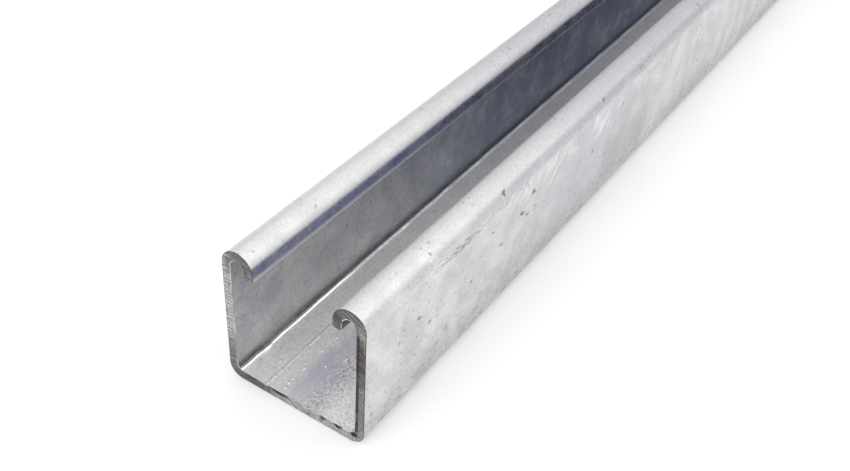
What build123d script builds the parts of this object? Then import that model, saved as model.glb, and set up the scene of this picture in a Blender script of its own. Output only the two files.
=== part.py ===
"""Plain-back strut channel: one stock length of cold-rolled, galvanised steel framing channel.

A single strip of steel is rolled into a square C: a flat back, two flanges, and two lips that
curl over half-round crests and point back down into the channel. Nuts and clamps slide along the
slot between the lips and bear on the lip tips from inside.

Frame: the origin is under the middle of the back, +X goes across, +Y along the length, and +Z up
from the back to the lips, with the slot open upwards.
"""

import os

from build123d import *

# Stock sizes, in millimetres.
length = 1000.0  # one cut length
width = 41.3  # across the outer faces of the two flanges
depth = 41.3  # from the outer face of the back to the crests of the lips
wall = 2.5  # thickness of the strip, the same all round the section

# Forming sizes: the inside radii are those of the rolls.
corner_inner_radius = 1.5  # bends between the back and the flanges
crest_inner_radius = 2.1  # half-round crest that turns a flange into its lip
lip_return = 2.4  # straight part of a lip, from the end of its crest to its tip
tip_radius = 0.4  # the slit edges of the strip, rounded by rolling and zinc

corner_outer_radius = corner_inner_radius + wall
crest_outer_radius = crest_inner_radius + wall
lip_width = 2 * crest_outer_radius
half_width = width / 2
crest_height = depth - crest_outer_radius
tip_height = crest_height - lip_return

QUARTER_TURN = 90
HALF_TURN = 180

with BuildPart() as channel:
    with BuildSketch(Plane.XZ) as section:
        # Half of the strip's outer face, from the middle of the back round to the tip of one lip,
        # thickened inwards and closed.
        with BuildLine():
            back = Line((0, 0), (half_width - corner_outer_radius, 0))
            corner = JernArc(back @ 1, back % 1, corner_outer_radius, QUARTER_TURN)
            flange = Line(corner @ 1, (half_width, crest_height))
            crest = JernArc(flange @ 1, flange % 1, crest_outer_radius, HALF_TURN)
            lip = Line(crest @ 1, (half_width - lip_width, tip_height))
            offset(amount=wall, side=Side.LEFT)
        make_face()
        mirror(about=Plane.YZ)
        # The lip tips are the second highest level of corners, under the ends of the crests.
        lip_tips = section.vertices().group_by(Axis.Y)[-2]
        fillet(lip_tips, tip_radius)
    extrude(amount=length / 2, both=True)

channel.part.label = "strut_channel"

os.makedirs("parts", exist_ok=True)
export_step(channel.part, "parts/strut_channel.step")
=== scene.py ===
"""Strut channel: a rolled length of galvanised steel framing channel, dressed for a studio picture.

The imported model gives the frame. The channel is rebuilt as one closed, finely divided surface with
the zinc's own relief, a sawn finish on its two cut ends, and a plain pale stage around it.
"""

import math

import bpy
import numpy as np
from bpy.props import FloatProperty, FloatVectorProperty, IntProperty, PointerProperty
from mathutils import Matrix, Vector


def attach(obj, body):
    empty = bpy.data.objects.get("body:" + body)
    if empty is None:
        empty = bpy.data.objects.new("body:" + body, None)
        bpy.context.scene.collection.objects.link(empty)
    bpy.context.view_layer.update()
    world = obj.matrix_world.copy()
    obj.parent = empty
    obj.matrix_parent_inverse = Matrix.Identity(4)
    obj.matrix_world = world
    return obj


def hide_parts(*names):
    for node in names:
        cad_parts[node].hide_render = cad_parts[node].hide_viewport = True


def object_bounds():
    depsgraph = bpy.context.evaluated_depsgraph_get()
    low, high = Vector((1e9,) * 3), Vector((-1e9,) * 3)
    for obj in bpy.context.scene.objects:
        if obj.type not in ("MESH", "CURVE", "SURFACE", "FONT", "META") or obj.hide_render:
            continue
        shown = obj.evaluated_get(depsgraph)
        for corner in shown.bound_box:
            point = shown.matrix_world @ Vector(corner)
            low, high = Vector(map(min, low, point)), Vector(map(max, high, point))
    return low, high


bl_info = {
    "name": "Strut Channel",
    "version": (1, 0, 0),
    "blender": (4, 5, 0),
    "location": "View3D > Sidebar > Strut",
    "description": "Builds a galvanised strut channel and its studio stage",
    "category": "Add Mesh",
}

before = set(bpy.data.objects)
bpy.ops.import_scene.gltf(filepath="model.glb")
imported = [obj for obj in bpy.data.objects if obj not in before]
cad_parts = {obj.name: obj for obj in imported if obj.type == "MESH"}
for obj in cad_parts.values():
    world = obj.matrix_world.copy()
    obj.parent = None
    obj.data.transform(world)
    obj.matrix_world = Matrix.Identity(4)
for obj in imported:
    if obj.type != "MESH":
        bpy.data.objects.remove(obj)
CAD_LOW, CAD_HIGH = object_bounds()
NODE = "strut_channel"
BODY = "root"
MM = 0.001
WHITE = (1.0, 1.0, 1.0, 1.0)
BLACK = (0.012, 0.012, 0.012, 1.0)

# Marks on the outer face of the right flange, in millimetres from the near cut and up from the back.
FACE_X = 20.65
# Pits: along, up, radius.
PITS = (
    (21.5, 25.7, 1.1), (26.2, 21.0, 1.0), (10.5, 29.8, 0.6), (54.5, 30.3, 1.0), (76.0, 30.8, 1.4),
    (69.8, 27.0, 1.3), (71.4, 26.2, 0.9), (73.5, 24.5, 1.0), (77.7, 25.0, 0.8), (60.0, 22.8, 1.0),
    (45.3, 20.2, 1.0), (76.0, 14.8, 0.7), (30.5, 10.5, 0.9), (59.7, 39.6, 1.3), (101.0, 16.2, 0.7),
)
# Patches of pale streaks: along, up, and their reach along and up.
PALE_PATCHES = ((87.0, 32.0, 20.0, 9.0), (68.0, 34.0, 15.0, 6.5), (118.0, 34.0, 18.0, 9.0))

# Marks on the saw cut, in millimetres across and up.
# Darker patches, painted shade where the cut lacks the sheen of its saw marks: across, up, reach across and
# up, level.
CUT_SHADE_PATCHES = (
    (-15.5, 1.0, 13.0, 6.5, 0.76), (19.4, 26.5, 4.0, 12.0, 0.75), (15.5, 38.5, 8.0, 6.0, 0.72),
    (-14.5, 38.0, 7.0, 7.0, 0.68), (-19.4, 7.0, 4.0, 8.0, 0.55), (19.4, 25.5, 2.5, 2.6, 0.90),
    (19.4, 12.0, 4.0, 12.0, 0.54),
)
# Dark dashes along the inner edge of the back: across, reach, level.
DARK_DASHES = ((-13.4, 2.4, 0.75), (-4.6, 3.9, 1.0), (8.5, 1.2, 0.9), (13.1, 1.8, 1.0))
# Middle of the curved saw marks.
SAW_AXIS = (-19.0, 0.0, -27.0)

# Lamps: name, place, what it faces, side of the square in metres, and brightness.
NEAR_END = (0.0, -0.45, 0.02)
LAMPS = (
    ("front_softbox", (0.15, -3.90, 2.81), NEAR_END, 4.8, 1.6),
    ("top_softbox", (0.0, 0.60, 2.96), (0.0, 0.60, 0.0), 4.8, 0.45),
    ("right_card", (2.85, 1.05, 1.50), NEAR_END, 2.7, 0.38),
    ("left_card", (-2.85, 1.65, 1.40), NEAR_END, 2.4, 0.08),
    ("back_card", (1.90, 1.75, 2.30), NEAR_END, 2.0, 0.40),
)
# Half a side of the floor, and how far it lies under the channel, in metres.
FLOOR_HALF, FLOOR_DROP = 20.0, 2e-4

# What the settings that are a length or a colour have in common.
LENGTH = {"unit": "LENGTH", "precision": 5}
COLOUR = {"subtype": "COLOR", "min": 0.0, "max": 1.0}


class StrutSectionSettings(bpy.types.PropertyGroup):
    """Sizes of the rolled strip."""

    width: FloatProperty(
        name="Width", description="Across the outer faces of the flanges",
        default=CAD_HIGH.x - CAD_LOW.x, **LENGTH)
    depth: FloatProperty(
        name="Depth", description="From the back to the crests of the lips",
        default=41.3 * MM, **LENGTH)
    length: FloatProperty(
        name="Length", description="From one cut end to the other",
        default=CAD_HIGH.y - CAD_LOW.y, **LENGTH)
    wall: FloatProperty(
        name="Wall", description="Thickness of the strip",
        default=2.5 * MM, **LENGTH)
    corner_inner_radius: FloatProperty(
        name="Corner radius", description="Inside radius of the bends beside the back",
        default=1.5 * MM, **LENGTH)
    crest_inner_radius: FloatProperty(
        name="Crest radius", description="Inside radius of the half-round lip crests",
        default=2.1 * MM, **LENGTH)
    lip_return: FloatProperty(
        name="Lip return", description="Straight part of a lip under its crest",
        default=2.4 * MM, **LENGTH)
    tip_radius: FloatProperty(
        name="Tip radius", description="Rounding of the slit edges at the lip tips",
        default=0.4 * MM, **LENGTH)


class StrutReliefSettings(bpy.types.PropertyGroup):
    """Relief that dipping and sawing leave on the strip."""

    edge_break: FloatProperty(
        name="Edge break", description="Rounding of the edges of the saw cut",
        default=0.12 * MM, **LENGTH)
    burr: FloatProperty(
        name="Burr", description="How far the ragged burr of the cut reaches inwards at most",
        default=0.42 * MM, **LENGTH)
    bead: FloatProperty(
        name="Corner bead",
        description="How much the zinc gathered in the inner bends adds to their radius",
        default=1.5 * MM, **LENGTH)
    drops: IntProperty(
        name="Zinc drops", description="Number of small drops of zinc on the inside",
        default=120, min=1)


class StrutZincSettings(bpy.types.PropertyGroup):
    """Colours of the zinc coat and of the bare cut."""

    zinc: FloatVectorProperty(
        name="Zinc", description="Colour of the plain zinc",
        default=(0.740, 0.740, 0.740), **COLOUR)
    # Grey zinc; also the colour of the painted shade on the outer side of the crests.
    dull_and_shade: FloatVectorProperty(
        name="Dull zinc", description="Colour of the greyer clouds in the zinc",
        default=(0.600, 0.600, 0.602), **COLOUR)
    # Pale zinc; also the colour of the painted highlights on the lips, the bends, the wrinkles, the back and
    # the cut.
    bloom_and_highlight: FloatVectorProperty(
        name="Bloom", description="Colour of the pale streaks",
        default=(0.860, 0.860, 0.858), **COLOUR)
    violet: FloatVectorProperty(
        name="Tint", description="Colour of the faintly violet zones",
        default=(0.592, 0.583, 0.640), **COLOUR)
    inner_near: FloatVectorProperty(
        name="Inside, near the cut", description="Colour of the flanges inside, near the ends",
        default=(0.790, 0.785, 0.785), **COLOUR)
    # Blue tint with painted shade: the colour the inside flanges take away from the cut ends.
    inner_deep: FloatVectorProperty(
        name="Inside, deep", description="Colour of the flanges inside, away from the ends",
        default=(0.255, 0.288, 0.412), **COLOUR)
    back: FloatVectorProperty(
        name="Inside of the back", description="Colour of the rough zinc on the back, inside",
        default=(0.800, 0.800, 0.800), **COLOUR)
    # Dark blue of the lip faces: a painted reflection of the shaded inside, with a blue tint.
    lip: FloatVectorProperty(
        name="Lip", description="Colour of the tinted zinc on the faces of the lips",
        default=(0.320, 0.350, 0.560), **COLOUR)
    # Lighter than the plain zinc: a painted highlight on the crests near the cut ends.
    crest: FloatVectorProperty(
        name="Crest", description="Colour of the highlit zinc on the crests",
        default=(0.770, 0.770, 0.768), **COLOUR)
    back_tint: FloatVectorProperty(
        name="Tint on the back", description="Colour of the tinted zone on the back, inside",
        default=(0.560, 0.558, 0.630), **COLOUR)
    # Colour of painted shade: along the foot of the flanges, up under the crests and beside the scratch.
    painted_shade: FloatVectorProperty(
        name="Shadow", description="Colour of the dirt along the foot of the flanges",
        default=(0.160, 0.160, 0.165), **COLOUR)
    pit: FloatVectorProperty(
        name="Pit", description="Colour of the pits and dark specks",
        default=(0.120, 0.120, 0.125), **COLOUR)
    steel: FloatVectorProperty(
        name="Cut steel", description="Colour of the bare steel of the saw cut",
        default=(0.430, 0.430, 0.430), **COLOUR)
    # Also the colour of the painted shade patches and the painted shadow line on the cut.
    oxide_and_shade: FloatVectorProperty(
        name="Oxide", description="Colour of the darkened steel",
        default=(0.060, 0.060, 0.062), **COLOUR)
    rust: FloatVectorProperty(
        name="Rust", description="Colour of the first rust on the cut",
        default=(0.108, 0.062, 0.066), **COLOUR)


class StrutStageSettings(bpy.types.PropertyGroup):
    """Camera, light and floor."""

    azimuth: FloatProperty(
        name="Azimuth", description="Turn of the camera about the upright axis",
        default=math.radians(31.110), subtype="ANGLE")
    elevation: FloatProperty(
        name="Elevation", description="Height of the camera above the horizon",
        default=math.radians(38.876), subtype="ANGLE")
    roll: FloatProperty(
        name="Roll", description="Tilt of the camera about its line of sight",
        default=math.radians(-3.984), subtype="ANGLE")
    lens: FloatProperty(
        name="Lens", description="Focal length on a 36 mm sensor, in millimetres",
        default=45.278)
    place: FloatVectorProperty(
        name="Camera place", description="Where the camera stands",
        default=(0.115383, -0.635553, 0.198579), subtype="TRANSLATION", precision=6)
    floor_colour: FloatVectorProperty(
        name="Floor", description="Colour of the paper floor",
        default=(0.78, 0.78, 0.78), **COLOUR)
    floor_glow: FloatVectorProperty(
        name="Floor glow", description="What brings the lit paper up to white in the picture",
        default=(0.18, 0.18, 0.18), **COLOUR)
    ambient: FloatVectorProperty(
        name="Ambient", description="Colour of the light from all round",
        default=(1.0, 1.0, 1.0), **COLOUR)
    ambient_strength: FloatProperty(
        name="Ambient strength", description="Level of the light from all round",
        default=0.715)


def strip_runs(cfg):
    """Where the runs of half a strip start and end along its middle line: back, bend, flange, crest, lip."""
    corner_mid = cfg.corner_inner_radius + cfg.wall / 2
    crest_mid = cfg.crest_inner_radius + cfg.wall / 2
    half_back = cfg.width / 2 - cfg.corner_inner_radius - cfg.wall
    flange = cfg.depth - cfg.crest_inner_radius - cfg.corner_inner_radius - 2 * cfg.wall
    bend, crest = corner_mid * math.pi / 2, crest_mid * math.pi
    return np.cumsum([0.0, half_back, bend, flange, crest, cfg.lip_return])


def strip_point(cfg, s):
    """Middle line of the strip and its outward direction, as functions of the developed distance s.

    s is measured from the middle of the back and is negative on the left. Along |s| the line runs
    straight under the back, turns a quarter circle, climbs the flange, turns a half circle over the
    crest and drops straight down the lip.
    """
    d = np.abs(s)
    run = strip_runs(cfg)
    corner_mid = cfg.corner_inner_radius + cfg.wall / 2
    crest_mid = cfg.crest_inner_radius + cfg.wall / 2
    corner_x, corner_z = run[1], corner_mid + cfg.wall / 2
    crest_x = cfg.width / 2 - crest_mid - cfg.wall / 2
    crest_z = cfg.depth - crest_mid - cfg.wall / 2
    bend = (d - run[1]) / corner_mid
    curl = (d - run[3]) / crest_mid
    where = [d <= run[1], d <= run[2], d <= run[3], d <= run[4]]
    one, zero = np.ones_like(d), np.zeros_like(d)
    x = np.select(where, [d, corner_x + corner_mid * np.sin(bend),
                          (corner_x + corner_mid) * one, crest_x + crest_mid * np.cos(curl)],
                  (crest_x - crest_mid) * one)
    z = np.select(where, [cfg.wall / 2 * one, corner_z - corner_mid * np.cos(bend),
                          corner_z + d - run[2], crest_z + crest_mid * np.sin(curl)],
                  crest_z - (d - run[4]))
    nx = np.select(where, [zero, np.sin(bend), one, np.cos(curl)], -one)
    nz = np.select(where, [-one, -np.cos(bend), zero, np.sin(curl)], zero)
    side = np.where(s < 0, -1.0, 1.0)
    return np.stack([side * x, z], -1), np.stack([side * nx, nz], -1)


def strip_stations(cfg):
    """Developed distances of the grid across the strip: close together in the bends and at the tips."""
    run = strip_runs(cfg)
    tip = run[5] - cfg.tip_radius
    rounding = tip + cfg.tip_radius * np.sin(np.linspace(0.0, math.pi / 2, 7))
    knots = [run[0], run[1] - 3 * MM, run[1], run[2], run[2] + 3 * MM, run[3], run[4], tip]
    steps = [9, 8, 12, 5, 9, 18, 3]
    half = np.concatenate([np.linspace(a, b, n, endpoint=False)
                           for a, b, n in zip(knots, knots[1:], steps)] + [rounding])
    return np.concatenate([-half[:0:-1], half])


def length_stations(cfg):
    """Grid along the length: close together at the cut ends, opening out towards the middle."""
    half = cfg.length / 2
    steps = MM * np.concatenate([
        np.full(30, 0.8), np.full(45, 1.6), np.linspace(1.6, 6.0, 40), np.full(45, 6.0)])
    near = np.concatenate([[0.0], np.cumsum(steps)])
    near = np.append(near[near < half - 4 * MM], half)
    return np.concatenate([near - half, half - near[-2::-1]])


def half_wall(cfg, s):
    """Half of the strip's thickness at s: constant, with a quarter-circle rounding at each lip tip."""
    end = strip_runs(cfg)[5] - cfg.tip_radius
    past = np.clip(np.abs(s) - end, 0.0, cfg.tip_radius)
    return cfg.wall / 2 - cfg.tip_radius + np.sqrt(cfg.tip_radius ** 2 - past ** 2)


def ragged(x, step, seed):
    """Random heights from 0 to 1 every step along x, joined by cosine curves."""
    low = math.floor(float(np.min(x)) / step) - 1
    count = math.ceil(float(np.max(x)) / step) + 2 - low
    knots = np.random.default_rng(seed).random(count)
    place = x / step - low
    i = np.floor(place).astype(int)
    blend = 0.5 - 0.5 * np.cos((place - i) * math.pi)
    return knots[i] * (1 - blend) + knots[i + 1] * blend


def burr_width(cfg, relief, s, seed):
    """How far the burr of a cut reaches past the inner face at s.

    Fine teeth every 0.7 mm on slow swells every 6 mm, with a share that is largest at the lips.
    """
    d = np.abs(s)
    run = strip_runs(cfg)
    teeth = 0.35 + 0.65 * ragged(s, 0.7 * MM, seed)
    swell = 0.25 + 0.75 * ragged(s, 6.0 * MM, seed + 1)
    places = [run[1], run[2], run[3] - 2 * MM, run[3] + 2 * MM, run[4], run[5]]
    share = np.interp(d, places, [0.55, 0.2, 0.2, 1.0, 0.9, 0.2])
    return relief.burr * teeth * swell * share


def corner_bead(cfg, relief, s, y):
    """Zinc gathered in the inner bends: its thickness, and how far round the filled bend each place is.

    The bend's inner radius r is filled out to a larger one, R = r + e, with e changing along y. On the
    flats the filled face stands R - sqrt(R^2 - d^2) above the strip, d in from the edge of the fill.
    In the bend, at the angle a, it is sqrt(R^2 - 2 e^2 + e^2 c^2) - e c from the centre, c = cos a + sin a.
    """
    run = strip_runs(cfg)
    d = np.abs(s)[None, :]
    from_end = cfg.length / 2 - np.abs(y)
    end_lump = np.exp(-((from_end - 10 * MM) / (2 * MM)) ** 2)
    lump = np.maximum(np.clip(2.2 * ragged(y, 7.0 * MM, 21) - 1.1, 0.0, 1.0), end_lump)
    ripple = 0.5 + 0.45 * ragged(y, 2.6 * MM, 22) + 0.6 * lump
    ripple *= np.interp(from_end, [0.0, 9 * MM, 13 * MM, 60 * MM], [1.0, 1.0, 0.8, 0.45])
    e = relief.bead * ripple[:, None] * np.where(s < 0, 1.0, 0.6)[None, :]
    r = cfg.corner_inner_radius
    big = r + e
    in_from = np.clip(e - np.maximum(run[1] - d, d - run[2]), 0.0, e)
    flat = big - np.sqrt(big ** 2 - in_from ** 2)
    a = np.clip((d - run[1]) / (run[2] - run[1]), 0.0, 1.0) * math.pi / 2
    c = np.cos(a) + np.sin(a)
    bend = r + e * c - np.sqrt(big ** 2 - 2 * e ** 2 + (e * c) ** 2)
    height = np.where((d > run[1]) & (d < run[2]), bend, flat)
    return height, np.clip((d - run[1] + e) / (run[2] - run[1] + 2 * e), 0.0, 1.0)


def grid_faces(rows, columns):
    """Quads of a grid of vertices counted row by row."""
    i, j = np.meshgrid(np.arange(rows - 1), np.arange(columns - 1), indexing="ij")
    corner = i * columns + j
    return np.stack([corner, corner + 1, corner + columns + 1, corner + columns], -1).reshape(-1, 4)


def channel_surface(cfg, relief):
    """Closed surface of the channel: points, quads, which quads are cut faces, and values at the points.

    A point is middle(s) + normal(s) * t * half_wall(s) at length y, with t from -1 inside to 1
    outside. The loop round the section is carried along y. Near the two cut ends it is drawn in
    outside by the edge break and pushed out inside by the burr, and the ends are closed by the grid
    of s and t. The inner side also carries the bead of the bends.
    """
    s, y = strip_stations(cfg), length_stations(cfg)
    middle, normal = strip_point(cfg, s)
    thick = half_wall(cfg, s)
    across = np.array([-1.0, -0.9, -0.5, 0.0, 0.5, 0.9, 1.0])
    ns, nt, ny = len(s), len(across), len(y)
    # Loop round the section: outside, one tip, inside, the other tip.
    tip = np.full(nt - 2, ns - 1)
    loop_s = np.concatenate([np.arange(ns), tip, np.arange(ns)[::-1], np.zeros_like(tip)])
    loop_t = np.concatenate([np.full(ns, 1.0), across[-2:0:-1], np.full(ns, -1.0), across[1:-1]])
    nl = len(loop_s)
    # Rows near a cut end, from the cut face to the full section.
    turn = np.linspace(0.0, math.pi / 2, 4)
    inset, setback = 1 - np.sin(turn), relief.edge_break * (1 - np.cos(turn))
    ys = np.concatenate([y[0] + setback, y[1:-1], (y[-1] - setback)[::-1]])
    fade = np.concatenate([inset, np.zeros(ny - 2), inset[::-1]])
    near_burr, far_burr = (burr_width(cfg, relief, s, seed) for seed in (11, 41))
    burr = np.where(ys[:, None] > 0, far_burr[None], near_burr[None])
    outer = thick[None] - fade[:, None] * relief.edge_break
    bead, round_bend = corner_bead(cfg, relief, s, ys)
    inner = thick[None] + fade[:, None] * burr + bead
    reach = np.where(loop_t > 0, outer[:, loop_s] * loop_t, inner[:, loop_s] * loop_t)
    flat = middle[loop_s][None] + normal[loop_s][None] * reach[..., None]
    rows = len(ys)
    depth = np.broadcast_to(ys[:, None, None], (rows, nl, 1))
    sides = np.concatenate([flat[..., :1], depth, flat[..., 1:]], -1)
    quads = grid_faces(rows, nl + 1)
    side_quads = (quads // (nl + 1) * nl + quads % (nl + 1) % nl)[:, ::-1]
    points, faces, start = [sides.reshape(-1, 3)], [side_quads], rows * nl
    developed = [np.broadcast_to(s[loop_s], (rows, nl)).ravel()]
    inside = [np.broadcast_to((1 - loop_t) / 2, (rows, nl)).ravel()]
    lump = [np.where(loop_t < 0, round_bend[:, loop_s], 0.0).ravel()]
    for row in (0, rows - 1):
        edge = row * nl
        index = np.zeros((ns, nt), int)
        index[:, -1] = edge + np.arange(ns)
        index[:, 0] = edge + 2 * ns + nt - 3 - np.arange(ns)
        index[-1, 1:-1] = edge + ns + np.arange(nt - 2)[::-1]
        index[0, 1:-1] = edge + 2 * ns + nt - 2 + np.arange(nt - 2)
        index[1:-1, 1:-1] = start + np.arange((ns - 2) * (nt - 2)).reshape(ns - 2, nt - 2)
        start += (ns - 2) * (nt - 2)
        t = across[None, 1:-1]
        reach = np.where(t > 0, t * outer[row, 1:-1, None], t * inner[row, 1:-1, None])
        p = middle[1:-1, None] + normal[1:-1, None] * reach[..., None]
        face = np.concatenate([p[..., :1], np.full(p.shape[:2] + (1,), ys[row]), p[..., 1:]], -1)
        points.append(face.reshape(-1, 3))
        developed.append(np.repeat(s[1:-1], nt - 2))
        inside.append(np.tile((1 - across[1:-1]) / 2, ns - 2))
        lump.append(np.zeros((ns - 2) * (nt - 2)))
        q = np.stack([index[:-1, :-1], index[:-1, 1:], index[1:, 1:], index[1:, :-1]], -1).reshape(-1, 4)
        faces.append(q if row == 0 else q[:, ::-1])
    kind = np.repeat([0, 1, 1], [len(f) for f in faces])
    edge = np.zeros((rows - 1, nl), bool)
    edge[:3], edge[-3:] = True, True
    kind[:edge.size] = edge.ravel()
    values = {"developed": np.concatenate(developed), "inside": np.concatenate(inside),
              "bead": np.concatenate(lump)}
    return np.concatenate(points), np.concatenate(faces), kind, values


def drop_surfaces(cfg, relief):
    """Small drops of zinc on the inside of the back: points of all drops, quads and caps of one.

    A drop is half an egg: rings of radius cos(v) and height sin(v) round its middle, from just under
    the face nearly to its top, with a flat cap at each end. It is longer along y than across.
    """
    rng = np.random.default_rng(7)
    n, around, rings = relief.drops, 10, 5
    run = strip_runs(cfg)
    s = rng.uniform(-run[1], run[1], n)
    y = -cfg.length / 2 + cfg.length * rng.random(n) ** 1.6
    size = (0.13 + 0.30 * rng.random(n) ** 2.5) * MM
    # A row of drops along one line of the back, near the cut, and one large drop right of it.
    row = n // 8
    s[:row] = -5.0 * MM + rng.normal(0.0, 0.3 * MM, row)
    y[:row] = -cfg.length / 2 + (2.0 + 24.0 * rng.random(row) ** 1.6) * MM
    size[:row] = (0.20 + 0.16 * rng.random(row)) * MM
    s[0], y[0], size[0] = 1.6 * MM, -cfg.length / 2 + 18.7 * MM, 0.42 * MM
    middle, normal = strip_point(cfg, s)
    foot = middle - normal * (half_wall(cfg, s) - 0.03 * MM)[:, None]
    up = -normal
    side = np.stack([up[:, 1], -up[:, 0]], -1)
    v = np.linspace(-0.3, 1.25, rings)
    a = np.linspace(0.0, 2 * math.pi, around, endpoint=False)
    ring = np.cos(v)[:, None] * np.stack([np.cos(a), np.sin(a)])[:, None, :]
    rise = np.broadcast_to(0.55 * np.sin(v)[:, None], (rings, around))
    stretch = rng.uniform(1.0, 1.9, n)
    across = size[:, None, None] * ring[0][None]
    along = (size * stretch)[:, None, None] * ring[1][None]
    height = size[:, None, None] * rise[None]
    xz = foot[:, None, None] + side[:, None, None] * across[..., None] + up[:, None, None] * height[..., None]
    p = np.stack([xz[..., 0], y[:, None, None] + along, xz[..., 1]], -1)
    i, j = np.meshgrid(np.arange(rings - 1), np.arange(around), indexing="ij")
    nxt = (j + 1) % around
    quad = np.stack([i * around + j, i * around + nxt, (i + 1) * around + nxt, (i + 1) * around + j], -1)
    caps = np.stack([np.arange(around)[::-1], (rings - 1) * around + np.arange(around)])
    return p, quad.reshape(-1, 4), caps


def put_mesh(name, points, faces, materials, kind=None, smooth=True):
    """Makes an object at the origin from an array of points and a list of faces."""
    mesh = bpy.data.meshes.new(name)
    mesh.from_pydata(points.tolist(), [], faces)
    if kind is not None:
        mesh.polygons.foreach_set("material_index", kind.astype(np.int32))
    mesh.polygons.foreach_set("use_smooth", np.full(len(faces), smooth))
    for m in materials:
        mesh.materials.append(m)
    mesh.update()
    obj = bpy.data.objects.new(name, mesh)
    bpy.context.scene.collection.objects.link(obj)
    return obj


def put_values(mesh, name, values):
    """Puts one value per point into the mesh, for the materials to read."""
    mesh.attributes.new(name, "FLOAT", "POINT").data.foreach_set("value", values.astype(np.float32))


class Wiring:
    """Adds nodes to one tree and joins them. Most methods give back the socket that a node puts out."""

    def __init__(self, tree):
        self.tree = tree

    def add(self, kind, values=None, **attributes):
        node = self.tree.nodes.new(kind)
        for key, value in attributes.items():
            setattr(node, key, value)
        for key, value in (values or {}).items():
            if isinstance(value, bpy.types.NodeSocket):
                self.tree.links.new(value, node.inputs[key])
            else:
                node.inputs[key].default_value = value
        return node

    def math(self, operation, a, b=0.0, clamp=False):
        return self.add("ShaderNodeMath", {0: a, 1: b}, operation=operation, use_clamp=clamp).outputs[0]

    def chain(self, operation, first, *others):
        for other in others:
            first = self.math(operation, first, other)
        return first

    def plus(self, *values):
        return self.chain("ADD", *values)

    def minus(self, a, b):
        return self.math("SUBTRACT", a, b)

    def times(self, *values):
        return self.chain("MULTIPLY", *values)

    def most(self, *values):
        return self.chain("MAXIMUM", *values)

    def dim(self, colour, value):
        """A colour times a value."""
        grey = self.add("ShaderNodeCombineColor", {0: value, 1: value, 2: value}).outputs[0]
        return self.mix(1.0, colour, grey, "MULTIPLY")

    def vector(self, operation, a, b):
        return self.add("ShaderNodeVectorMath", {0: a, 1: b}, operation=operation).outputs[0]

    def join(self, given, taken):
        self.tree.links.new(given, taken)

    def attribute(self, name):
        return self.add("ShaderNodeAttribute", attribute_name=name).outputs["Fac"]

    def length(self, a):
        return self.add("ShaderNodeVectorMath", {0: a}, operation="LENGTH").outputs["Value"]

    def band(self, value, low, high, to_low=0.0, to_high=1.0):
        """Smooth step of a value between two levels."""
        return self.add("ShaderNodeMapRange", {"Value": value, "From Min": low, "From Max": high,
                                               "To Min": to_low, "To Max": to_high},
                        interpolation_type="SMOOTHSTEP").outputs[0]

    def noise(self, vector, scale, detail=2.0, roughness=0.5, distortion=0.0):
        return self.add("ShaderNodeTexNoise", {"Vector": vector, "Scale": scale, "Detail": detail,
                                               "Roughness": roughness, "Distortion": distortion}).outputs[0]

    def mapping(self, vector, place=(0, 0, 0), turn=(0, 0, 0), scale=(1, 1, 1)):
        return self.add("ShaderNodeMapping", {"Vector": vector, "Location": place, "Rotation": turn,
                                              "Scale": scale}).outputs[0]

    def mix(self, amount, a, b, blend="MIX"):
        return self.add("ShaderNodeMix", {0: amount, 6: a, 7: b},
                        data_type="RGBA", blend_type=blend).outputs[2]

    def layers(self, colour, *layers):
        """A colour with layers laid over it in order, each a mask and a colour."""
        for mask, shade in layers:
            colour = self.mix(mask, colour, shade)
        return colour

    def group(self, tree, values):
        return self.add("ShaderNodeGroup", values, node_tree=tree).outputs


def new_group(name, inputs, outputs):
    """An empty shader node group with its sockets, its wiring, and the sockets of its two ends."""
    tree = bpy.data.node_groups.new(name, "ShaderNodeTree")
    for label, kind, value in inputs:
        socket = tree.interface.new_socket(label, in_out="INPUT", socket_type=kind)
        if value is not None:
            socket.default_value = value
    for label in outputs:
        tree.interface.new_socket(label, in_out="OUTPUT", socket_type="NodeSocketFloat")
    w = Wiring(tree)
    return tree, w, w.add("NodeGroupInput").outputs, w.add("NodeGroupOutput").inputs


def mottle_group():
    """Clouds, fine grain, slanting streaks and slow swell of a metal surface, from millimetres."""
    tree, w, given, out = new_group(
        "metal_mottle", [("Vector", "NodeSocketVector", None), ("Cloud Scale", "NodeSocketFloat", 0.09),
                         ("Grain Scale", "NodeSocketFloat", 1.5)],
        ["Cloud", "Grain", "Streak", "Swell"])
    at = given["Vector"]
    w.join(w.band(w.noise(at, given["Cloud Scale"], 4.0, 0.62, 0.5), 0.32, 0.68), out["Cloud"])
    w.join(w.noise(at, given["Grain Scale"], 2.0, 0.7), out["Grain"])
    slant = w.mapping(w.mapping(at, turn=(math.radians(-46), 0.0, 0.0)), scale=(1.0, 0.25, 1.0))
    w.join(w.band(w.noise(slant, 0.45, 3.0, 0.65), 0.46, 0.68), out["Streak"])
    w.join(w.noise(at, 0.26, 1.0), out["Swell"])
    return tree


def speck_group():
    """Scattered specks on a flat sheet: the middles of random cells whose own number is under the share."""
    tree, w, given, out = new_group(
        "specks", [("Vector", "NodeSocketVector", None), ("Scale", "NodeSocketFloat", 0.3),
                   ("Share", "NodeSocketFloat", 0.1), ("Size", "NodeSocketFloat", 0.2)], ["Mask"])
    at = w.mapping(given["Vector"], scale=(1.0, 0.75, 1.0))
    cells = w.add("ShaderNodeTexVoronoi", {"Vector": at, "Scale": given["Scale"], "Randomness": 1.0},
                  voronoi_dimensions="2D")
    own = w.add("ShaderNodeSeparateColor", {0: cells.outputs["Color"]}).outputs
    chosen = w.math("LESS_THAN", own[0], given["Share"])
    size = w.times(given["Size"], w.band(own[1], 0.0, 1.0, 0.4, 1.0))
    spot = w.band(cells.outputs["Distance"], size, w.times(size, 0.45))
    w.join(w.times(chosen, spot), out["Mask"])
    return tree


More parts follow.
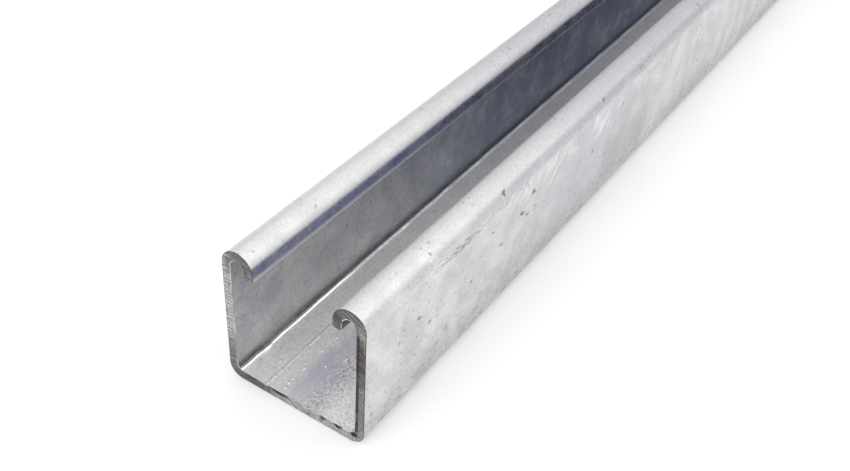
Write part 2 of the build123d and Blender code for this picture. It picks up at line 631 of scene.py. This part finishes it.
def patch_group():
    """A soft-edged patch round a point: distance over the radii, made ragged by the amount given."""
    tree, w, given, out = new_group(
        "patch", [("Vector", "NodeSocketVector", None), ("Centre", "NodeSocketVector", (0, 0, 0)),
                  ("Radii", "NodeSocketVector", (10, 10, 10)), ("Rag", "NodeSocketFloat", 0.0)], ["Mask"])
    offset = w.vector("SUBTRACT", given["Vector"], given["Centre"])
    away = w.length(w.vector("DIVIDE", offset, given["Radii"]))
    w.join(w.band(w.plus(away, given["Rag"]), 1.0, 0.4), out["Mask"])
    return tree


def new_material(name):
    """A node material with nothing in it yet, and its wiring."""
    mat = bpy.data.materials.new(name)
    mat.use_nodes = True
    mat.node_tree.nodes.clear()
    return mat, Wiring(mat.node_tree)


def rgba(colour, factor=1.0):
    """A setting's colour with its alpha, lighter or darker by a factor."""
    return (*[factor * c for c in colour], 1.0)


def end_in_metal(w, colour, metal, rough, height):
    """Ends a material: bump from a height in millimetres, the metal shader and the output."""
    bump = w.add("ShaderNodeBump", {"Strength": 1.0, "Distance": 1.0 * MM, "Height": height})
    shader = w.add("ShaderNodeBsdfPrincipled", {
        "Base Color": colour, "Metallic": metal, "Roughness": rough, "Normal": bump.outputs[0]})
    w.add("ShaderNodeOutputMaterial", {"Surface": shader.outputs[0]})


class ZincCoat:
    """Layers of the dipped zinc, zone by zone, over shared places and noises in millimetres."""

    def __init__(self, w, cfg, groups, length):
        self.w, self.cfg, self.groups = w, cfg, groups
        # Places, with y counted from the near end.
        self.at = w.mapping(w.add("ShaderNodeTexCoord").outputs["Object"],
                            place=(0.0, length / 2 / MM, 0.0), scale=(1 / MM, 1 / MM, 1 / MM))
        self.x, self.y, self.z = w.add("ShaderNodeSeparateXYZ", {0: self.at}).outputs[:3]
        self.from_cut = w.math("MINIMUM", self.y, w.minus(length / MM, self.y))
        # How far in from the nearer cut end, from 0 to 1. Colours mixed by it paint light that falls off away
        # from the cut ends: painted shade further along the channel.
        self.deep = w.band(self.from_cut, 18.0, 165.0)
        self.inside = w.band(w.attribute("inside"), 0.4, 0.6)
        self.outside = w.minus(1.0, self.inside)
        # How far round a filled bend: 0 on the back, 1 on the flange.
        self.round_bend = w.attribute("bead")
        self.back = w.times(self.inside, w.band(self.round_bend, 0.25, 0.12))
        # Across the strip from the middle of the back, where the bend ends at 21.0, the flange at 53.7,
        # the crest at 64.2 and the lip at 66.6.
        developed = w.times(w.attribute("developed"), 1 / MM)
        self.across = w.math("ABSOLUTE", developed)
        self.crest = w.times(self.outside, w.band(self.across, 52.5, 55.0))
        # Noises, from broad to fine.
        self.mottle = w.group(groups["mottle"], {"Vector": self.at})
        self.slow = w.noise(self.at, 0.014, 2.0)
        self.broad = w.noise(self.at, 0.045, 2.0)
        self.blotch = w.noise(self.at, 0.11, 4.0, 0.65, 0.6)
        fine = w.add("ShaderNodeTexNoise", {"Vector": self.at, "Scale": 1.1, "Detail": 2.0}).outputs
        self.tooth = fine[0]
        self.rag = w.times(w.minus(self.blotch, 0.5), 1.3)
        self.fine_rag = w.times(w.minus(self.tooth, 0.5), 2.2)
        # The strip laid out flat with ragged lines, its inner side set beside its outer one.
        beside = w.plus(developed, w.times(self.inside, 200.0))
        sheet = w.add("ShaderNodeCombineXYZ", {0: beside, 1: self.y}).outputs[0]
        shake = w.vector("SUBTRACT", fine[1], (0.5, 0.5, 0.5))
        self.sheet = w.vector("ADD", sheet, w.vector("MULTIPLY", shake, (2.0, 2.0, 0.0)))

    def patch(self, centre, radii, rough_edge=None):
        values = {"Vector": self.at, "Centre": centre, "Radii": radii,
                  "Rag": self.rag if rough_edge is None else rough_edge}
        return self.w.group(self.groups["patch"], values)["Mask"]

    def specks(self, scale, share, size):
        values = {"Vector": self.sheet, "Scale": scale, "Share": share, "Size": size}
        return self.w.group(self.groups["specks"], values)["Mask"]

    def outer_faces(self):
        """Grey clouds, a faint tint, darker low on the flanges, and pale slanting streaks."""
        w, cfg, y, blotch = self.w, self.cfg, self.y, self.blotch
        tint = w.most(w.times(w.band(self.slow, 0.50, 0.66), w.band(y, 120.0, 220.0)),
                      self.patch((FACE_X, 112.0, 22.0), (14.0, 42.0, 34.0)))
        low = w.times(self.outside, w.band(self.z, 16.0, 3.0), w.band(blotch, 0.32, 0.60, 0.35, 1.0))
        stain = self.patch((FACE_X, 138.0, 12.0), (10.0, 26.0, 14.0))
        pale = w.most(w.times(w.band(self.broad, 0.54, 0.66), w.band(y, 130.0, 180.0)),
                      *[self.patch((FACE_X, along, up), (10.0, reach, rise))
                        for along, up, reach, rise in PALE_PATCHES])
        return w.layers(
            w.mix(self.mottle["Cloud"], rgba(cfg.dull_and_shade), rgba(cfg.zinc)),
            (w.times(tint, self.outside, 0.7), rgba(cfg.violet)),
            (w.most(w.times(low, 0.55), w.times(stain, 0.6)), rgba(cfg.dull_and_shade, 0.72)),
            (w.times(w.band(y, 25.0, 75.0), w.band(blotch, 0.30, 0.60, 0.5, 0.2)), rgba(cfg.dull_and_shade, 0.84)),
            (w.times(self.mottle["Streak"], pale, self.outside, 0.78), rgba(cfg.bloom_and_highlight)))

    def crests_and_lips(self, colour):
        """Crests with painted light, lighter near the cut ends and darker and more violet further in, and
        painted shade on their outer side; lips with a painted reflection of the shaded inside in a blue tint,
        and a pale line along their tips that is a painted highlight.
        """
        w, cfg, y, across, deep = self.w, self.cfg, self.y, self.across, self.deep
        # Crest colour lighter near the cut ends, a painted highlight, and darker and more violet further in,
        # painted shade with a violet tint.
        crest_light_falloff = w.mix(w.times(deep, 0.75), rgba(cfg.crest), rgba(cfg.violet, 0.94))
        # Painted shade on the outer side of each crest, stronger and more violet further from the near cut.
        shoulder_shade = w.times(self.outside, w.band(across, 53.4, 54.4), w.band(across, 56.8, 55.4),
                           w.band(self.blotch, 0.3, 0.6, 0.3, 0.6), w.band(y, 30.0, 100.0, 1.0, 1.6))
        wavy = w.plus(across, w.times(self.mottle["Grain"], 0.5))
        # The lip faces: dark blue, darker further in, a painted reflection of the shaded inside with a blue
        # tint.
        lip = w.times(self.outside, w.band(wavy, 62.95, 63.4), w.band(self.tooth, 0.34, 0.58, 0.72, 1.0),
                      w.band(self.blotch, 0.36, 0.58, 0.72, 1.0))
        # A pale band near the lip tips, partly pale zinc and partly painted light fading away from the cut
        # ends, and a painted highlight on the rounded tips that fades the same way.
        pale_band_and_highlight = w.times(self.outside, w.band(across, 64.9, 65.3), w.band(deep, 0.0, 0.5, 0.65, 0.15))
        tip = w.times(self.outside, w.band(across, 65.55, 65.85), w.band(deep, 0.1, 0.7, 1.0, 0.3))
        return w.layers(
            colour,
            (w.times(self.crest, w.band(self.mottle["Cloud"], 0.0, 1.0, 0.8, 1.0)), crest_light_falloff),
            (shoulder_shade, w.mix(w.band(y, 20.0, 90.0), rgba(cfg.dull_and_shade, 0.84), rgba(cfg.violet, 0.82))),
            (lip, w.mix(deep, rgba(cfg.lip), rgba(cfg.lip, 0.42))),
            (pale_band_and_highlight, rgba(cfg.bloom_and_highlight)), (tip, rgba(cfg.bloom_and_highlight, 1.1)))

    def inner_flanges(self):
        """Grey near the cut ends, bluer and darker away from them with a blue tint and painted shade, and
        painted shade up under the crests.
        """
        w, cfg, blotch, across = self.w, self.cfg, self.blotch, self.across
        blue, bloom_and_highlight = rgba(cfg.inner_deep), rgba(cfg.bloom_and_highlight)
        return w.layers(
            w.mix(self.mottle["Cloud"], rgba(cfg.inner_near, 0.85), rgba(cfg.inner_near)),
            (w.band(blotch, 0.48, 0.32, 0.0, 0.22), blue),
            (w.band(self.broad, 0.50, 0.36, 0.0, 0.16), blue),
            (w.times(self.mottle["Streak"], 0.22), bloom_and_highlight),
            (w.band(blotch, 0.52, 0.68, 0.0, 0.7), bloom_and_highlight),
            # Bluer and darker further from the cut ends: a blue tint with painted shade.
            (w.times(self.deep, w.band(blotch, 0.66, 0.40, 0.66, 1.0)), blue),
            # Painted shade up under the crests.
            (w.plus(w.band(across, 42.0, 53.5, 0.0, 0.32), w.band(across, 54.0, 57.0, 0.0, 0.35)),
             rgba(cfg.painted_shade)))

    def inner_back(self):
        """Rough pale zinc with a tinted zone, painted light on its right part, wrinkles right of the middle
        with painted highlights on their ridges and painted shade between them, painted shade further from the
        cut ends, and one long scratch with a painted shadow beside it.

        Gives the colour, and the wrinkles and the scratch as masks for the bump.
        """
        w, cfg, x = self.w, self.cfg, self.x
        aside = w.plus(x, w.times(self.rag, 5.0))
        zone = w.times(w.band(aside, -6.5, -1.5), w.band(aside, 11.0, 4.0),
                       w.band(self.y, 0.0, 12.0, 0.6, 1.0), w.band(self.blotch, 0.30, 0.55, 0.6, 1.0))
        right = w.band(x, -2.0, 6.0)
        wrinkle = w.noise(w.mapping(self.at, scale=(1.0, 0.5, 1.0)), 1.9, 3.0, 0.72, 0.6)
        ridge = w.times(right, w.band(wrinkle, 0.42, 0.66))
        # The scratch runs 8.9 mm left of the middle, with a painted shadow along its left side.
        off = w.plus(x, w.plus(8.9, w.times(self.slow, 0.3)))
        beside = w.band(w.math("ABSOLUTE", w.plus(off, 0.45)), 0.30, 0.10)
        scratch = w.times(w.band(self.tooth, 0.36, 0.58), w.band(w.math("ABSOLUTE", off), 0.32, 0.14))
        colour = w.layers(
            w.mix(self.mottle["Cloud"], rgba(cfg.back, 0.9), rgba(cfg.back)),
            (zone, rgba(cfg.back_tint)),
            # Painted light on the right part of the back.
            (w.times(w.band(aside, 4.0, 10.0), 0.95), rgba(cfg.bloom_and_highlight, 1.14)),
            # Painted highlights on the wrinkle ridges, and painted shade in the hollows between them.
            (w.times(ridge, 0.95), rgba(cfg.bloom_and_highlight, 1.15)),
            (w.times(right, w.band(wrinkle, 0.44, 0.33), 0.85), rgba(cfg.back, 0.32)),
            # Painted shadow beside the scratch.
            (w.times(beside, 0.28), rgba(cfg.painted_shade)),
            (scratch, WHITE),
            # Painted shade further from the cut ends.
            (w.times(self.deep, self.deep, 0.5), rgba(cfg.back, 0.6)))
        return colour, ridge, scratch

    def dark_marks(self):
        """Pits, specks, broken rows of dashes under the right crest, and scuffs low on the flanges."""
        w, y, z = self.w, self.y, self.z
        few = w.times(self.specks(0.27, 0.022, 0.24), w.minus(0.5, w.times(self.inside, 0.3)))
        near = self.patch((FACE_X, 15.0, 16.0), (12.0, 36.0, 20.0))
        many = w.times(self.specks(0.62, 0.30, 0.28), w.most(w.band(self.broad, 0.48, 0.62), near), 0.5)
        pits = [w.times(self.patch((FACE_X, along, up), (2.0, size, 0.7 * size), self.fine_rag),
                        min(0.95, 0.7 * size - 0.05)) for along, up, size in PITS]
        dash = w.band(w.noise(w.mapping(self.at, scale=(0.3, 0.42, 4.2)), 1.0, 1.5), 0.51, 0.57)
        far_row = w.band(w.math("ABSOLUTE", w.minus(z, 36.0)), 1.4, 0.6)
        rows = w.most(self.patch((FACE_X, 39.0, 36.0), (4.0, 15.0, 1.6), 0.0),
                      w.times(self.patch((FACE_X, 62.0, 36.3), (4.0, 16.0, 1.1), 0.0), 0.7),
                      w.times(w.band(self.slow, 0.53, 0.58), w.band(y, 180.0, 240.0), far_row))
        dashes = w.times(dash, rows, w.band(w.math("ABSOLUTE", self.x), 20.2, 20.5), 0.9)
        scuff = w.band(w.noise(w.mapping(self.at, scale=(0.4, 0.45, 1.5)), 0.7, 3.0, 0.7), 0.52, 0.66)
        scuffs = w.times(scuff, self.outside, w.band(z, 14.0, 5.0), 0.46)
        return w.most(few, many, *pits, dashes, scuffs)

    def foot_shade(self):
        """Painted shade along the foot of the flanges inside, just above the filled bends."""
        w, across = self.w, self.across
        foot = w.plus(w.band(across, 22.9, 20.6, 0.0, 0.7), w.band(across, 26.0, 21.8, 0.0, 0.18))
        return w.times(foot, self.inside, w.band(self.round_bend, 0.48, 0.60),
                       w.band(self.blotch, 0.25, 0.60, 0.45, 1.0))

    def bend_highlight(self):
        """Painted highlight in the bends: a lighter colour, whole near the cut ends, and only bits of it
        further in.
        """
        w, bend, from_cut = self.w, self.round_bend, self.from_cut
        bits = w.band(w.noise(w.mapping(self.at, scale=(0.0, 1.0, 0.0)), 0.13, 3.0, 0.6), 0.50, 0.66)
        bright = w.most(w.band(from_cut, 26.0, 60.0, 1.0, 0.12),
                        w.times(bits, w.band(from_cut, 160.0, 60.0, 0.15, 0.6)))
        return w.times(w.band(bend, 0.15, 0.25), w.band(bend, 0.60, 0.50), bright)


def zinc_material(cfg, groups, length):
    """Dipped zinc: a satin metal, rougher on the back inside and smoother in the bends."""
    mat, w = new_material("zinc_coat")
    coat = ZincCoat(w, cfg, groups, length)
    mottle, back, bead = coat.mottle, coat.back, coat.bend_highlight()
    back_colour, ridge, scratch = coat.inner_back()
    flecks = w.times(coat.specks(0.95, 0.26, 0.22), w.plus(0.35, w.times(coat.outside, 0.2)))
    colour = w.layers(
        coat.crests_and_lips(coat.outer_faces()),
        (w.minus(coat.inside, back), coat.inner_flanges()),
        (back, back_colour),
        (coat.dark_marks(), rgba(cfg.pit)),
        (flecks, rgba(cfg.bloom_and_highlight, 1.05)),
        # Painted shade along the foot of the flanges.
        (coat.foot_shade(), rgba(cfg.painted_shade)),
        # Painted highlight in the bends and on the drops.
        (bead, rgba(cfg.bloom_and_highlight, 1.1)))
    grain = w.band(mottle["Grain"], 0.25, 0.75, w.plus(0.86, w.times(coat.crest, 0.06)), 1.10)
    rough = w.plus(w.band(mottle["Cloud"], 0.0, 1.0, 0.50, 0.40),
                   w.times(w.minus(mottle["Grain"], 0.5), 0.16), w.times(back, 0.26))
    rough = w.math("SUBTRACT", rough, w.times(bead, 0.26), clamp=True)
    metal = w.minus(0.94, w.times(back, 0.22))
    rise = w.plus(w.times(ridge, 0.18), w.times(scratch, 0.10))
    height = w.plus(w.times(mottle["Swell"], 0.035), w.times(mottle["Grain"], 0.010), w.times(back, rise))
    end_in_metal(w, w.dim(colour, grain), metal, rough, height)
    return mat


def sawn_material(cfg, groups):
    """Saw cut: bare steel with curved saw marks, lighter and darker patches painted as the uneven sheen of
    the cut, dark notches and edge lines, a painted shadow line, first rust, and a pale inner rim of zinc that
    is partly a painted highlight.
    """
    mat, w = new_material("sawn_steel")
    at = w.mapping(w.add("ShaderNodeTexCoord").outputs["Object"], scale=(1 / MM, 0.0, 1 / MM))
    x, _, z = w.add("ShaderNodeSeparateXYZ", {0: at}).outputs[:3]
    inside = w.attribute("inside")
    mottle = w.group(groups["mottle"], {"Vector": at, "Cloud Scale": 0.35, "Grain Scale": 3.0})
    grain = w.minus(mottle["Grain"], 0.5)
    blotch = w.noise(at, 0.4, 3.0, 0.65)
    rag, fine_rag = w.times(w.minus(blotch, 0.5), 1.6), w.times(grain, 1.5)

    def spot(across, up, wide, high, rough_edge=rag):
        values = {"Vector": at, "Centre": (across, 0.0, up), "Radii": (wide, 1.0, high), "Rag": rough_edge}
        return w.group(groups["patch"], values)["Mask"]

    # Lighter and darker patches on the cut: painted highlights and painted shade of the uneven sheen of the
    # saw marks.
    light = w.most(spot(-19.4, 26.0, 5.0, 15.0), spot(6.0, 1.2, 14.0, 5.0))
    dark = w.most(w.times(w.band(blotch, 0.52, 0.68), 0.5),
                  *[w.times(spot(*place), level) for *place, level in CUT_SHADE_PATCHES])
    rust = w.most(spot(19.2, 30.0, 2.2, 3.6), spot(12.6, 36.4, 2.4, 3.6))
    colour = w.layers(
        rgba(cfg.steel), (w.times(light, 0.06), rgba(cfg.bloom_and_highlight)), (dark, rgba(cfg.oxide_and_shade)),
        (w.times(rust, 0.65), rgba(cfg.rust)))
    # Rings round the axis of the saw blade, broken up along their length.
    from_axis = w.length(w.vector("SUBTRACT", at, SAW_AXIS))
    radius = w.plus(from_axis, w.times(w.noise(at, 0.15, 1.0), 0.5))
    rings = w.add("ShaderNodeTexNoise", {"W": radius, "Scale": 2.1, "Detail": 3.0, "Roughness": 0.8},
                  noise_dimensions="1D").outputs[0]
    cut = w.band(w.plus(rings, w.times(grain, 0.3)), 0.36, 0.64, 0.36, 1.46)
    colour = w.dim(colour, w.times(cut, w.band(mottle["Grain"], 0.28, 0.72, 0.68, 1.26)))
    # Zinc along the inner edge, dark notches in the left crest, and a painted shadow line up the right
    # flange.
    uneven = w.noise(w.mapping(at, scale=(0.4, 1.0, 0.4)), 0.9, 2.0)
    upright = w.times(w.band(x, 15.5, 17.0), w.band(z, 37.0, 34.0), w.band(z, 2.5, 4.5))
    # The rim along the inner edge is partly the zinc coat and partly a painted highlight where the burr
    # catches light.
    rim = w.times(w.band(inside, 0.90, 0.96), w.band(uneven, 0.58, 0.42), w.minus(1.0, upright), 0.85)
    notches = w.times(spot(-14.6, 37.6, 2.4, 2.8, fine_rag), w.band(inside, 0.66, 0.80),
                      w.band(mottle["Grain"], 0.60, 0.46), 0.85)
    line = w.times(upright, w.band(inside, 0.60, 0.74), w.band(uneven, 0.66, 0.50, 0.5, 0.95))
    # Dark dashes along the back, a dark line along the outer edge, and a black spot in one corner.
    dashes = [(w.times(spot(across, 2.5, reach, 1.15, fine_rag), level), BLACK)
              for across, reach, level in DARK_DASHES]
    colour = w.layers(
        colour, (rim, rgba(cfg.bloom_and_highlight)), (notches, rgba(cfg.oxide_and_shade, 0.5)), (line, rgba(cfg.oxide_and_shade, 0.5)),
        *dashes, (w.times(w.band(inside, 0.08, 0.03), 0.6), rgba(cfg.oxide_and_shade)),
        (w.times(spot(17.75, 2.6, 1.5, 1.2, 0.0), 0.98), BLACK))
    rough = w.band(mottle["Cloud"], 0.0, 1.0, 0.42, 0.58)
    height = w.plus(w.times(rings, 0.07), w.times(mottle["Grain"], 0.03))
    end_in_metal(w, colour, 0.9, rough, height)
    return mat


def finishes(scene):
    """The two finishes of the channel, made once and shared by its pieces."""
    if "zinc_coat" not in bpy.data.materials:
        groups = {"mottle": mottle_group(), "specks": speck_group(), "patch": patch_group()}
        zinc_material(scene.strut_zinc, groups, scene.strut_section.length)
        sawn_material(scene.strut_zinc, groups)
    return [bpy.data.materials[n] for n in ("zinc_coat", "sawn_steel")]


class STRUT_OT_channel(bpy.types.Operator):
    """Builds the rolled channel with its zinc coat and sawn ends"""

    bl_idname = "strut.channel"
    bl_label = "Channel"

    def execute(self, context):
        scene = context.scene
        points, faces, kind, values = channel_surface(scene.strut_section, scene.strut_relief)
        obj = put_mesh("channel_steel", points, faces.tolist(), finishes(scene), kind)
        for name, value in values.items():
            put_values(obj.data, name, value)
        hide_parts(NODE)
        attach(obj, BODY)
        return {"FINISHED"}


class STRUT_OT_drops(bpy.types.Operator):
    """Builds the small drops of zinc on the inside of the back"""

    bl_idname = "strut.drops"
    bl_label = "Zinc drops"

    def execute(self, context):
        scene = context.scene
        p, quad, caps = drop_surfaces(scene.strut_section, scene.strut_relief)
        count, per = p.shape[0], p.shape[1] * p.shape[2]
        first = np.arange(count)[:, None, None] * per
        faces = [face for kind in (quad, caps)
                 for face in (first + kind[None]).reshape(-1, kind.shape[1]).tolist()]
        obj = put_mesh("zinc_drops", p.reshape(-1, 3), faces, finishes(scene)[:1])
        # A value within the band of the bends, which gives the drops the painted highlight colour of the
        # bends.
        put_values(obj.data, "bead", np.full(count * per, 0.35))
        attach(obj, BODY)
        return {"FINISHED"}


def area_lamp(name, place, target, size, radiance):
    """A square area lamp at place that faces target and looks as bright as radiance says."""
    data = bpy.data.lights.new(name, "AREA")
    data.shape, data.size = "SQUARE", size
    data.energy = radiance * math.pi * size * size
    lamp = bpy.data.objects.new(name, data)
    lamp.location = place
    lamp.rotation_mode = "QUATERNION"
    lamp.rotation_quaternion = (Vector(target) - Vector(place)).to_track_quat("-Z", "Y")
    bpy.context.scene.collection.objects.link(lamp)


def floor_material(cfg):
    """Pale paper: diffuse, with a glow for the camera and for reflections that brings it up to white."""
    mat, w = new_material("paper_floor")
    path = w.add("ShaderNodeLightPath").outputs
    seen = w.most(path["Is Camera Ray"], path["Is Glossy Ray"], path["Is Transmission Ray"])
    diffuse = w.add("ShaderNodeBsdfDiffuse", {"Color": rgba(cfg.floor_colour)})
    glow = w.add("ShaderNodeEmission", {"Strength": seen, "Color": rgba(cfg.floor_glow)})
    both = w.add("ShaderNodeAddShader", {0: diffuse.outputs[0], 1: glow.outputs[0]})
    w.add("ShaderNodeOutputMaterial", {"Surface": both.outputs[0]})
    return mat


class STRUT_OT_stage(bpy.types.Operator):
    """Builds the floor, the light and the camera"""

    bl_idname = "strut.stage"
    bl_label = "Stage"

    def execute(self, context):
        scene = context.scene
        cfg = scene.strut_stage
        scene.view_settings.view_transform = "Standard"
        corners = np.array([[i * FLOOR_HALF, j * FLOOR_HALF, -FLOOR_DROP]
                            for i, j in ((-1, -1), (1, -1), (1, 1), (-1, 1))])
        floor = put_mesh("paper_floor", corners, [[0, 1, 2, 3]], [floor_material(cfg)], smooth=False)
        world = bpy.data.worlds.new("studio")
        world.use_nodes = True
        world.node_tree.nodes.clear()
        w = Wiring(world.node_tree)
        ambient = rgba(cfg.ambient, cfg.ambient_strength)
        seen = w.add("ShaderNodeLightPath").outputs["Is Camera Ray"]
        sky = w.add("ShaderNodeBackground", {"Color": w.mix(seen, ambient, WHITE), "Strength": 1.0})
        w.add("ShaderNodeOutputWorld", {"Surface": sky.outputs[0]})
        scene.world = world
        for lamp in LAMPS:
            area_lamp(*lamp)
        data = bpy.data.cameras.new("camera")
        data.lens, data.sensor_width = cfg.lens, 36.0
        data.clip_start, data.clip_end = 0.01, 50.0
        camera = bpy.data.objects.new("camera", data)
        a, e, r = cfg.azimuth, cfg.elevation, cfg.roll
        back = Vector((math.sin(a) * math.cos(e), -math.cos(a) * math.cos(e), math.sin(e)))
        right = Vector((math.cos(a), math.sin(a), 0.0))
        up = back.cross(right)
        level = Matrix((right, up, back)).transposed()
        camera.matrix_world = Matrix.Translation(cfg.place) @ (level @ Matrix.Rotation(-r, 3, "Z")).to_4x4()
        scene.collection.objects.link(camera)
        scene.camera = camera
        return {"FINISHED"}


class STRUT_PT_panel(bpy.types.Panel):
    """Sidebar panel of the strut channel"""

    bl_label = "Strut Channel"
    bl_idname = "STRUT_PT_panel"
    bl_space_type = "VIEW_3D"
    bl_region_type = "UI"
    bl_category = "Strut"

    def draw(self, context):
        for step in (STRUT_OT_channel, STRUT_OT_drops, STRUT_OT_stage):
            self.layout.operator(step.bl_idname)
        for name, kind in SETTINGS.items():
            box = self.layout.box()
            for setting in kind.__annotations__:
                box.prop(getattr(context.scene, name), setting)


SETTINGS = {
    "strut_section": StrutSectionSettings,
    "strut_relief": StrutReliefSettings,
    "strut_zinc": StrutZincSettings,
    "strut_stage": StrutStageSettings,
}
CLASSES = (*SETTINGS.values(), STRUT_OT_channel, STRUT_OT_drops, STRUT_OT_stage, STRUT_PT_panel)


def register():
    for c in CLASSES:
        bpy.utils.register_class(c)
    for name, kind in SETTINGS.items():
        setattr(bpy.types.Scene, name, PointerProperty(type=kind))


def unregister():
    for name in SETTINGS:
        delattr(bpy.types.Scene, name)
    for c in reversed(CLASSES):
        bpy.utils.unregister_class(c)


def main():
    register()
    bpy.ops.strut.channel()
    bpy.ops.strut.drops()
    bpy.ops.strut.stage()


if __name__ == "__main__":
    main()
